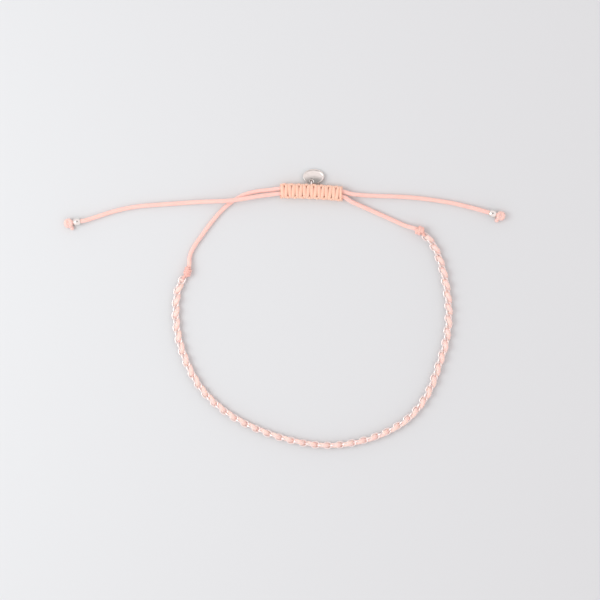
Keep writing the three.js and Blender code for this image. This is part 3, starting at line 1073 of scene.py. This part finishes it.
def endKnot(name, k, link):
    s = knotStrandSpec
    aside = np.cross(upward, k["way"])
    radius = k["diameter"] / 2 - s["halfThick"]
    halfWide = k["long"] / k["turns"] / 2 * s["overlap"]
    turn = np.linspace(0, 2 * math.pi * k["turns"], int(18 * k["turns"]) + 1)
    travel = (0.5 - turn / turn[-1]) * (k["long"] - 2 * halfWide * s["endInset"])
    out = np.cos(turn)[:, None] * upward + np.sin(turn)[:, None] * aside
    coil = k["at"] + travel[:, None] * k["way"] + radius * out
    tuckIn = k["at"] + k["way"] * (k["long"] * s["tuckIn"])
    coilPiece = strand(
        name,
        np.concatenate([[tuckIn], coil]),
        k["cord"],
        halfWide,
        s["halfThick"],
        sides=14,
        outward=np.concatenate([[out[0]], out]),
    )
    coreFrom = k["at"] - k["way"] * k["long"] * s["coreShort"]
    coreTo = k["at"] + k["way"] * (k["long"] * 0.5 + s["corePast"])
    core = strand("core", [coreFrom, coreTo], k["cord"], s["coreRadius"], s["coreRadius"], sides=16)
    wire = linkPlace(link)
    along = unit((wire - k["at"]) * np.array([1, 1, 0]))
    wire = wire - along * (linkStep + chainSpec["wire"]) / 2
    rise = s["tieRise"]
    places = [  # out of the knot, round the link's wire and back
        k["at"] + upward * rise * 0.6,
        wire + upward * rise,
        wire + (along + upward) * rise * 0.75,
        wire + along * rise,
        wire + (along - upward) * rise * 0.75,
        wire - upward * rise,
        k["at"] - upward * rise * 0.6,
    ]
    tieLine = evenly(smoothCurve(places), s["tieSpacing"])
    tie = strand("tie", tieLine, k["cord"], *s["tieHalves"], sides=12)
    return joined(name, [coilPiece, core, tie])


endKnots = {
    "left": endKnot("endKnotLeft", endKnotSpec["left"], linkGaps),
    "right": endKnot("endKnotRight", endKnotSpec["right"], 0),
}
print("end knots made")


# Tail beads and tail knots
tailSpec = {
    "beadDiameter": 2.3,
    "beadLength": 2.1,
    "bore": 0.72,  # radius
    "boreEdge": 0.06,
    "beadRoundness": 0.75,  # 1 is a ball
    "beadGap": 0.1,  # from a bead to its knot
    "knotWidth": 3.0,
    "lean": math.radians(62),  # of the knot's turns from upright
    "strand": 0.63,  # half of the knotted strand
    "flatter": 0.95,  # share of its thickness that is left
    "spacing": 0.12,
    "floorGap": 0.02,
    "coreAside": 0.45,
    "coreHeight": 1.22,
    "coreHalves": (0.7, 0.62),
}


def turned(name, profile, way, centre, mat, sides=40):  # profile: a closed loop of radius and height
    side = unit(np.cross(upward, way))
    up = np.cross(way, side)
    vertices = []
    for radius, height in profile:
        for j in range(sides):
            angle = 2 * math.pi * j / sides
            vertices.append(centre + way * height + radius * (math.cos(angle) * side + math.sin(angle) * up))
    faces = [(a, d, c, b) for a, b, c, d in ringFaces(len(profile), sides)]  # turned outwards
    return meshObject(name, vertices, faces, None, mat)


def tailBead(name, end, way):
    t = tailSpec
    radius, half, bore = t["beadDiameter"] / 2, t["beadLength"] / 2, t["bore"]
    edge = bore + t["boreEdge"]
    profile = [(bore, -half * 0.9), (edge, -half)]
    for step in np.linspace(-1, 1, 13):  # the outside stops a little short of the ends
        lean = step * math.radians(50)
        height = half * math.sin(lean) / math.sin(math.radians(54))
        profile.append((radius * math.cos(lean) ** t["beadRoundness"], height))
    profile += [(edge, half), (bore, half * 0.9)]
    return turned(name, profile, way, end - way * half, polishedSilver)


# A tail knot: one turn of the cord leans ahead, the next one leans back over it, and the cut end
# lies beside them.
def onTurn(degrees, lean):
    t = tailSpec
    radius = t["knotWidth"] / 2 - t["strand"]
    across, rise = radius * math.cos(math.radians(degrees)), radius * math.sin(math.radians(degrees))
    flat, tall = math.sin(t["lean"]), math.cos(t["lean"])
    middle = t["floorGap"] + t["strand"] + radius * tall
    return lean * rise * flat, across, middle + rise * tall


def tailKnot(name, end, way, hand):
    t = tailSpec
    reach = (t["knotWidth"] / 2 - t["strand"]) * math.sin(t["lean"]) + t["strand"]
    centre = end + way * (t["beadGap"] + reach)
    aside = hand * np.cross(upward, way)
    low = t["floorGap"] + t["strand"]
    # columns: ahead of the knot's middle, to its side and height
    comesIn = [(-1.45, 0.0, 1.17), (-1.0, -0.1, 1.0)]
    turnAhead = [onTurn(degrees, 1) for degrees in range(-75, 160, 26)]
    turnBack = [onTurn(degrees, -1) for degrees in range(150, -80, -26)]
    tuckUnder = [(0.3, 0.0, 1.1), (-0.05, 0.15, 1.4), (-0.45, 0.75, 0.95)]
    cutEnd = [(-0.7, 1.25, low), (-0.8, 1.62, low)]
    points = []
    for ahead, toSide, height in [*comesIn, *turnAhead, *turnBack, *tuckUnder, *cutEnd]:
        spot = centre + ahead * way + toSide * aside
        points.append([spot[0], spot[1], height])
    line = evenly(smoothCurve(points, 6), t["spacing"])
    turns = strand(name, line, waxedCord, t["strand"], t["strand"] * t["flatter"], sides=16)
    coreLift = np.array([0, 0, t["coreHeight"] - centre[2]])
    coreLine = [centre + aside * k + coreLift for k in (-t["coreAside"], 0.0, t["coreAside"])]
    core = strand("core", coreLine, waxedCord, *t["coreHalves"], sides=16)
    return joined(name, [turns, core])


def endWay(route):
    way = np.array(route[-1]) - np.array(route[-2])
    way[2] = 0
    return unit(way)


tails = {}
for side, route in (("Right", rightTailRoute), ("Left", leftTailRoute)):
    end, way = np.array(route[-1]), endWay(route)
    hand = -1 if side == "Right" else 1  # the two knots are mirror images
    tails[side] = (tailBead("tailBead" + side, end, way), tailKnot("tailKnot" + side, end, way, hand))
print("beads and tail knots made")


# Tag and jump ring
tagSpec = {
    "wide": 6.3,
    "deep": 4.6,
    "thick": 0.5,
    "recess": 0.09,  # of the face below the rim
    "dome": 0.16,  # the face swells this much towards its middle
    "rim": 0.32,
    "tilt": math.radians(15),
    "at": (0.55, 39.755, 0.857),
    "hole": 0.5,
    "holeAt": (-0.65, -1.55),
    "holeEdge": 0.05,
    "edge": 0.1,  # from the face's height down to where the side begins
    "around": 96,
}
ringSpec = {
    "radius": 0.65,
    "wire": 0.175,  # radius
    "at": (-0.1, 37.64, 1.375),
    "steps": 40,
    "sides": 14,
}


def ovalTag():
    t = tagSpec
    top, face, rim = t["thick"] / 2, t["thick"] / 2 - t["recess"], t["rim"]
    reach = t["deep"] / 2
    inner = 1 - rim / reach
    # from the hole out over the face and rim, round the edge and back underneath
    upper = [(0.0, face - t["holeEdge"]), (0.03, face)]
    upper += [(k, face) for k in (0.12, 0.3, 0.5, 0.7, inner - 0.03)]
    middle, half = (1 + inner) / 2, (1 - inner) / 2
    for step in (-1, -0.92, -0.7, -0.35, 0, 0.35, 0.7, 0.92, 1):  # the rounded rim
        upper.append((middle + half * step, face + (top - face) * math.sqrt(1 - step * step)))
    upper.append((1.0, face - t["edge"]))
    profile = upper + [(k, -z) for k, z in upper[::-1]]
    hole = np.array([t["holeAt"][0], t["holeAt"][1], 0])
    vertices = []
    for share, z in profile:
        for j in range(t["around"]):
            angle = 2 * math.pi * j / t["around"]
            outer = np.array([t["wide"] / 2 * math.cos(angle), t["deep"] / 2 * math.sin(angle), 0])
            near = hole + t["hole"] * np.array([math.cos(angle), math.sin(angle), 0])
            flat = near + (outer - near) * share
            out = (2 * flat[0] / t["wide"]) ** 2 + (2 * flat[1] / t["deep"]) ** 2
            swell = t["dome"] * (1 - out / inner**2) if share < inner and z > 0 else 0
            vertices.append([flat[0], flat[1], z + swell])
    c, s = math.cos(-t["tilt"]), math.sin(-t["tilt"])
    placed = [
        (x + t["at"][0], y * c - z * s + t["at"][1], y * s + z * c + t["at"][2]) for x, y, z in vertices
    ]
    return meshObject("ovalTag", placed, ringFaces(len(profile), t["around"]), None, polishedSilver)


def jumpRing():
    r = ringSpec
    vertices = []
    for i in range(r["steps"]):
        a = 2 * math.pi * i / r["steps"]
        out = np.array([0, math.cos(a), math.sin(a)])
        for j in range(r["sides"]):
            b = 2 * math.pi * j / r["sides"]
            spot = np.array(r["at"]) + out * (r["radius"] + r["wire"] * math.cos(b))
            vertices.append(spot + np.array([1.0, 0, 0]) * r["wire"] * math.sin(b))
    return meshObject("jumpRing", vertices, ringFaces(r["steps"], r["sides"]), None, silverPaintedCordReflection)


tag = ovalTag()
ring = jumpRing()
print("tag made")


# Each piece, a finish name that nothing here uses, and the model's nodes that it stands for; each piece
# hangs from the root body, and those nodes are hidden
dressed = [
    (rightCord, "waxed_cord", ["cord_right_tail"]),
    (leftCord, "waxed_cord", ["cord_left_tail"]),
    (chainPieces["right"], "silver", ["chain_right"]),
    (chainPieces["left"], "silver", ["chain_left"]),
    (wovenCord, "waxed_cord", []),
    (slidingKnot, "knotted_cord", ["sliding_knot"]),
    (endKnots["left"], "knotted_cord", ["end_knot_left"]),
    (endKnots["right"], "knotted_cord", ["end_knot_right"]),
    (tails["Right"][0], "silver", ["tail_bead_right"]),
    (tails["Left"][0], "silver", ["tail_bead_left"]),
    (tails["Right"][1], "waxed_cord", ["tail_knot_right"]),
    (tails["Left"][1], "waxed_cord", ["tail_knot_left"]),
    (tag, "silver", ["tag"]),
    (ring, "silver", ["jump_ring"]),
]
for piece, slotName, nodes in dressed:
    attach(piece, "root")
    if nodes:
        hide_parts(*nodes)
